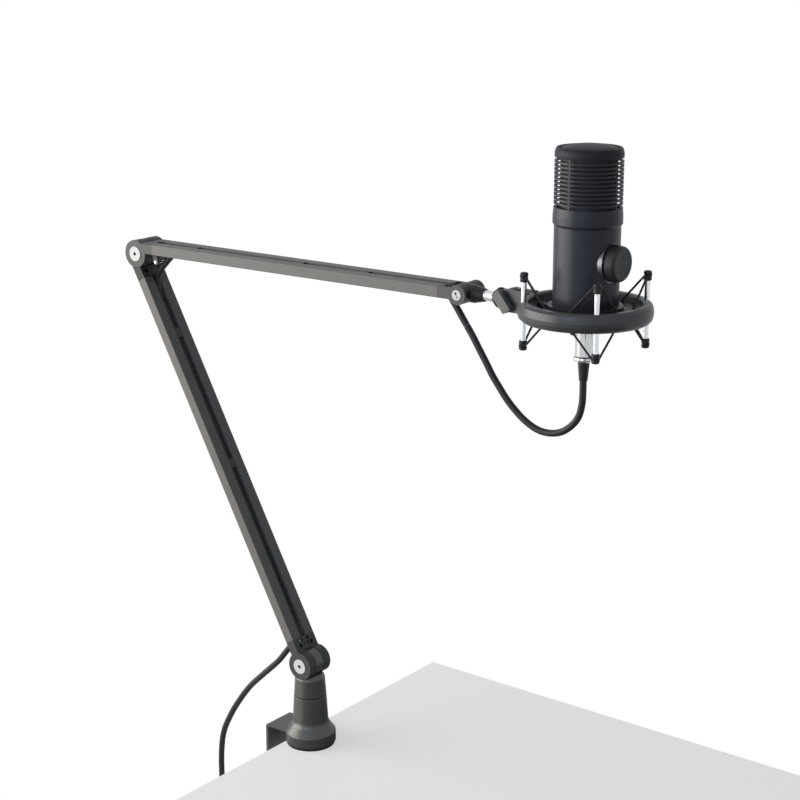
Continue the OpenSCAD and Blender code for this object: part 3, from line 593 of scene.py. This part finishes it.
# ---- shock mount ring and posts ----
# A rounded cast ring stands on the socket and carries four chromed posts that run right
# through it.
ring_paint = finish("ring_paint", (0.084, 0.087, 0.090), 0.36, metallic=0.4, relief=0.10, grain=700)
post_chrome = finish("post_chrome", (0.97, 0.97, 0.97), 0.16, metallic=0.9, relief=0.01, mottle=0.02)
paint(ring_paint, "shock_ring")
paint(post_chrome, "ring_posts")


# ---- cradle ----
# A moulded cup holds the microphone's lower end, with a tab and two hooks on each of its four
# sides. The black ring nut clamps the microphone in the cup.
cradle_plastic = finish("cradle_plastic", (0.020, 0.020, 0.021), 0.40, relief=0.10)
paint(cradle_plastic, "cradle", "cradle_nut")


# ---- post caps ----
# A moulded rubber cap closes each end of every post. Its waist is a groove for the elastic
# cord, and its outer end is domed.
cap_rubber = finish("cap_rubber", (0.020, 0.020, 0.023), 0.42, grain=420, mottle=0.9, relief=0.25)
mic_centre = Vector(((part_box("mic_body")[0][0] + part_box("mic_body")[1][0]) / 2, 0, 0))
yaw = radians(-3)
caps_low, caps_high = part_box("post_caps")
cap_height = 8.6
cap_levels = (caps_low[2] / MM + cap_height / 2, caps_high[2] / MM - cap_height / 2)
post_circle = 52.3
cap_profile = [(0, 4.3), (1.8, 4.25), (2.9, 3.9), (3.4, 3.2), (3.5, 2.4), (3.45, 1.5), (3.1, 1.2),
               (3.1, 0.2), (3.45, -0.1), (3.5, -3.6), (3.1, -4.2), (2.5, -4.3), (2.5, -3.0),
               (0, -3.0)]


def post_place(i, z, up):
    angle = radians(45 + 90 * i) + yaw
    spot = mic_centre + Vector((post_circle * cos(angle), post_circle * sin(angle), z)) * MM
    flip = Matrix.Identity(4) if up > 0 else Matrix.Rotation(radians(180), 4, "X")
    return Matrix.Translation(spot) @ flip


ends = [(i, up) for i in range(4) for up in (-1, 1)]
caps = joined("rubber_caps", [turned(f"cap_{i}_{up}", cap_profile, cap_rubber, 28,
                                     post_place(i, cap_levels[up > 0], up), 0.25) for i, up in ends])
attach(caps, "mount")
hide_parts("post_caps")


# ---- elastic cords ----
# Eight lengths of braided elastic hang the cradle in the ring. Each runs from a hook on one
# tab, round the groove of a post cap, to a hook on the next tab.
braid = finish("elastic_braid", (0.010, 0.010, 0.010), 0.6, grain=1800, relief=0.5, stretch=(1, 1, 0.4))
hook_reach, hook_side, hook_level, cord_radius = 40.5, 8.5, 2.4, 0.95
groove_level, loop_radius = 0.7, 2.9
ring_level = (cap_levels[0] + cap_levels[1]) / 2


def hook_spot(k, side, z):
    angle = radians(90 * k)
    return Vector((hook_reach * cos(angle) - side * hook_side * sin(angle),
                   hook_reach * sin(angle) + side * hook_side * cos(angle), z))


loops = []
for i, up in ends:
    angle = radians(45 + 90 * i)
    outward = Vector((cos(angle), sin(angle), 0))
    along = Vector((-sin(angle), cos(angle), 0))
    cap = outward * post_circle + Vector((0, 0, cap_levels[up > 0] + up * groove_level))
    hooks = [hook_spot(i + side, 1 - 2 * side, ring_level + up * hook_level) for side in (0, 1)]
    bend = [cap + (outward * cos(radians(t)) + along * sin(radians(t))) * loop_radius
            for t in range(-100, 101, 25)]
    line = smooth_line([hooks[0], hooks[0].lerp(bend[0], 0.5)] + bend
                       + [hooks[1].lerp(bend[-1], 0.5), hooks[1]], 2)
    turn = Matrix.Translation(mic_centre) @ Matrix.Rotation(yaw, 4, "Z")
    loops.append(tube(f"loop_{i}_{up}", [turn @ q for q in line], cord_radius * MM, braid, sides=3))
elastics = joined("elastic_loops", loops)
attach(elastics, "mount")
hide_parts("elastic_cords")


# ---- microphone body ----
# A turned aluminium barrel in satin blue-black, closed below by the base with the connector.
# The grille's lower band overlaps its top and leaves a fine seam.
mic_paint = finish("mic_paint", (0.028, 0.0295, 0.043), 0.36, relief=0.04, grain=1500)
grille_paint = finish("grille_paint", (0.022, 0.0245, 0.036), 0.38, relief=0.05, grain=1500)
bezel_paint = finish("bezel_paint", (0.16, 0.165, 0.17), 0.30, metallic=0.72, relief=0.02)
paint(mic_paint, "mic_body", "mic_base")
paint(grille_paint, "grille")
paint(bezel_paint, "knob_bezel")


# ---- grille cap ----
# A spun aluminium cap closes the grille. A ring of small vents stands in the groove between
# its rolled rim and its shallow dome, and its rim is pressed over the grille's top ring.
low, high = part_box("grille_cap")
cap_base = low[2] / MM
mic_place = Matrix.Translation(mic_centre)
dome_paint = finish("dome_paint", (0.036, 0.038, 0.045), 0.46, relief=0.05, specular=0.15)
cap_outline = [(0, 11), (5, 10.85), (9, 10.6), (13, 10.1), (17, 9.4), (20, 8.8), (22.6, 8), (23.6, 7.2),
               (24.4, 7.0), (25.2, 7.2), (25.8, 8.0), (26.3, 8.3), (26.9, 8.2), (27.5, 7.6),
               (28.1, 6.2), (28.55, 4.8), (28.75, 3.4), (28.75, 0.5), (28.5, 0), (24, 0), (24, 5.6),
               (23, 6.2), (17, 8.2), (9, 9.4), (0, 9.8)]
dome = turned("cap_dome", [(x, cap_base + z) for x, z in cap_outline], dome_paint, 96, mic_place)
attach(dome, "mount")
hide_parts("grille_cap")


def vents(name, count, radius, z, length, width, material):
    """A ring of small slots in millimetres, each an oval lip round a lower floor."""
    corners = 10
    form = bmesh.new()
    for i in range(count):
        middle = tau * (i + 0.5) / count
        outward = Vector((cos(middle), sin(middle), 0))
        along = Vector((-sin(middle), cos(middle), 0))
        spot = mic_centre / MM + outward * radius
        rings = []
        for scale, lift in ((1.0, 0.0), (0.8, 0.12), (0.62, -0.05)):
            ring = []
            for k in range(corners):
                angle = tau * k / corners
                offset = scale * (outward * width * cos(angle) + along * length * sin(angle))
                ring.append(form.verts.new((spot + offset + Vector((0, 0, z + lift))) * MM))
            rings.append(ring)
        for outer, inner in zip(rings, rings[1:]):
            for k in range(corners):
                j = (k + 1) % corners
                form.faces.new((outer[k], outer[j], inner[j], inner[k]))
        form.faces.new(rings[-1])
        form.faces.new(rings[0][::-1])
    return made(name, form, material)


vent_count, vent_circle, vent_level, vent_length, vent_width = 36, 24.5, 7.5, 1.5, 0.95
# Each vent is drawn in near-black painted shade for the dark inside of its slot.
vent_ring = vents("cap_vents", vent_count, vent_circle, cap_base + vent_level, vent_length, vent_width,
                  painted_recess_shade)
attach(vent_ring, "mount")


# ---- capsule and electronics ----
# The gold-faced capsule stands on its saddle behind a fine woven steel liner. The green
# circuit board stands below it in the barrel.
mesh_steel = finish("mesh_steel", (0.05, 0.05, 0.055), 0.5, metallic=1, grain=2000, relief=0.6)
capsule_gold = finish("capsule_gold", (0.62, 0.46, 0.18), 0.25, metallic=1, relief=0.02)
saddle_plastic = finish("saddle_plastic", (0.02, 0.02, 0.021), 0.5)
solder_mask = finish("solder_mask", (0.015, 0.10, 0.05), 0.35, mottle=0.3, grain=300)
paint(mesh_steel, "mesh_liner")
paint(capsule_gold, "capsule")
paint(saddle_plastic, "capsule_saddle")
paint(solder_mask, "circuit_board")


# ---- gain knob ----
# A moulded black knob on a short shaft. Fine flutes run along its rim, its face is slightly
# dished, and a pale line on the face points to the setting.
knob_plastic = finish("knob_plastic", (0.032, 0.033, 0.034), 0.42, relief=0.05)
knob_rows = [(0, 36.0), (6, 36.05), (11, 36.2), (12.6, 36.4), (13.4, 36.2), (14.3, 35.6), (14.9, 34.6),
             (15.1, 33), (15.35, 29.5), (15.6, 26.2), (15.3, 25.8), (3, 25.8), (3, 15), (0, 15)]
knob_sides, flute_depth, flute_from = 144, 0.28, 14.6


def fluted_knob():
    """The knob on the Z axis, with every third edge of its rim sunk for a flute."""
    form = bmesh.new()
    rings = []
    for radius, reach in knob_rows:
        if radius == 0:
            rings.append([form.verts.new((0, 0, reach * MM))])
            continue
        depth = flute_depth if radius > flute_from else 0.0
        ring = []
        for k in range(knob_sides):
            r = radius - depth * (k % 3 == 0)
            angle = tau * k / knob_sides
            ring.append(form.verts.new(Vector((r * cos(angle), r * sin(angle), reach)) * MM))
        rings.append(ring)
    for upper, lower in zip(rings, rings[1:]):
        for k in range(knob_sides):
            j = (k + 1) % knob_sides
            if len(upper) == 1:
                form.faces.new((upper[0], lower[k], lower[j]))
            elif len(lower) == 1:
                form.faces.new((upper[k], lower[0], upper[j]))
            else:
                form.faces.new((upper[k], lower[k], lower[j], upper[j]))
    return made("fluted_knob", form, knob_plastic)


knob_low, knob_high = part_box("gain_knob")
knob_level = (knob_low[2] + knob_high[2]) / 2
knob_place = (Matrix.Translation(mic_centre + Vector((0, 0, knob_level))) @ Matrix.Rotation(yaw, 4, "Z")
              @ Matrix.Rotation(radians(90), 4, "Y"))
knob = fluted_knob()
knob.data.transform(knob_place)
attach(knob, "knob")
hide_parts("gain_knob")

pointer_length, pointer_width, pointer_height = 7.6, 0.8, 0.3
pointer_middle, pointer_level = -8.2, 36.1
pointer_paint = finish("pointer_paint", (0.16, 0.165, 0.17), 0.4, relief=0.02)
form = bmesh.new()
bmesh.ops.create_cube(form, size=1)
for vert in form.verts:
    vert.co = Vector((pointer_middle + vert.co.x * pointer_length, vert.co.y * pointer_width,
                      pointer_level + vert.co.z * pointer_height)) * MM
bmesh.ops.bevel(form, geom=form.edges, offset=0.12 * MM, segments=2, affect="EDGES")
pointer = made("knob_pointer", form, pointer_paint)
pointer.data.transform(knob_place)
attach(pointer, "knob")


# ---- cable plugs ----
# A chromed plug with a tapered rubber boot sits in the microphone's base. At the far end of
# the cable, below the coil, a second plug shows its three pins inside its open shell.
plug_chrome = finish("plug_chrome", (0.86, 0.85, 0.82), 0.13, metallic=0.8, relief=0.01, mottle=0.03)
paint(plug_chrome, "plug_shell")
paint(jacket, "plug_boot")
low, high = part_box("line_plug")
plug_centre = Vector(((low[0] + high[0]) / 2, (low[1] + high[1]) / 2, 0))
foot = low[2] / MM
plug_place = Matrix.Translation(plug_centre)
shell_profile = [(0, 44), (7.4, 44), (8.6, 43.6), (9.0, 42.6), (9.0, 40.5), (8.5, 40), (8.5, 38.5),
                 (9.3, 38), (9.3, 1), (8.9, 0.2), (8.4, 0), (8.1, 0.6), (8.1, 15), (0, 15)]
shell = turned("line_shell", [(x, foot + z) for x, z in shell_profile], plug_chrome, 48, plug_place, 0.15)
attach(shell, "post")
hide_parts("line_plug")
boot_profile = [(0, 64), (3.5, 64), (3.9, 63.4), (4.3, 59), (5.0, 58.6), (4.6, 58), (5.4, 54), (6.1, 53.6),
                (5.7, 53), (6.5, 49), (7.2, 48.6), (6.8, 48), (7.6, 44.4), (7.4, 43.6), (0, 43.6)]
boot = turned("line_boot", [(x, foot + z) for x, z in boot_profile], jacket, 40, plug_place)
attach(boot, "post")
pin_profile = [(0, 15.2), (1.2, 15.2), (1.2, 3.4), (0.9, 2.6), (0.4, 2.3), (0, 2.2)]
pin_count, pin_circle = 3, 4.2


def pin_place(k):
    angle = tau * k / pin_count
    return Matrix.Translation(plug_centre + Vector((cos(angle), sin(angle), 0)) * pin_circle * MM)


pins = joined("line_pins", [turned(f"pin_{k}", [(x, foot + z) for x, z in pin_profile], plug_chrome, 16,
                                   pin_place(k)) for k in range(pin_count)])
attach(pins, "post")
paint(nylon, "coil_tie")
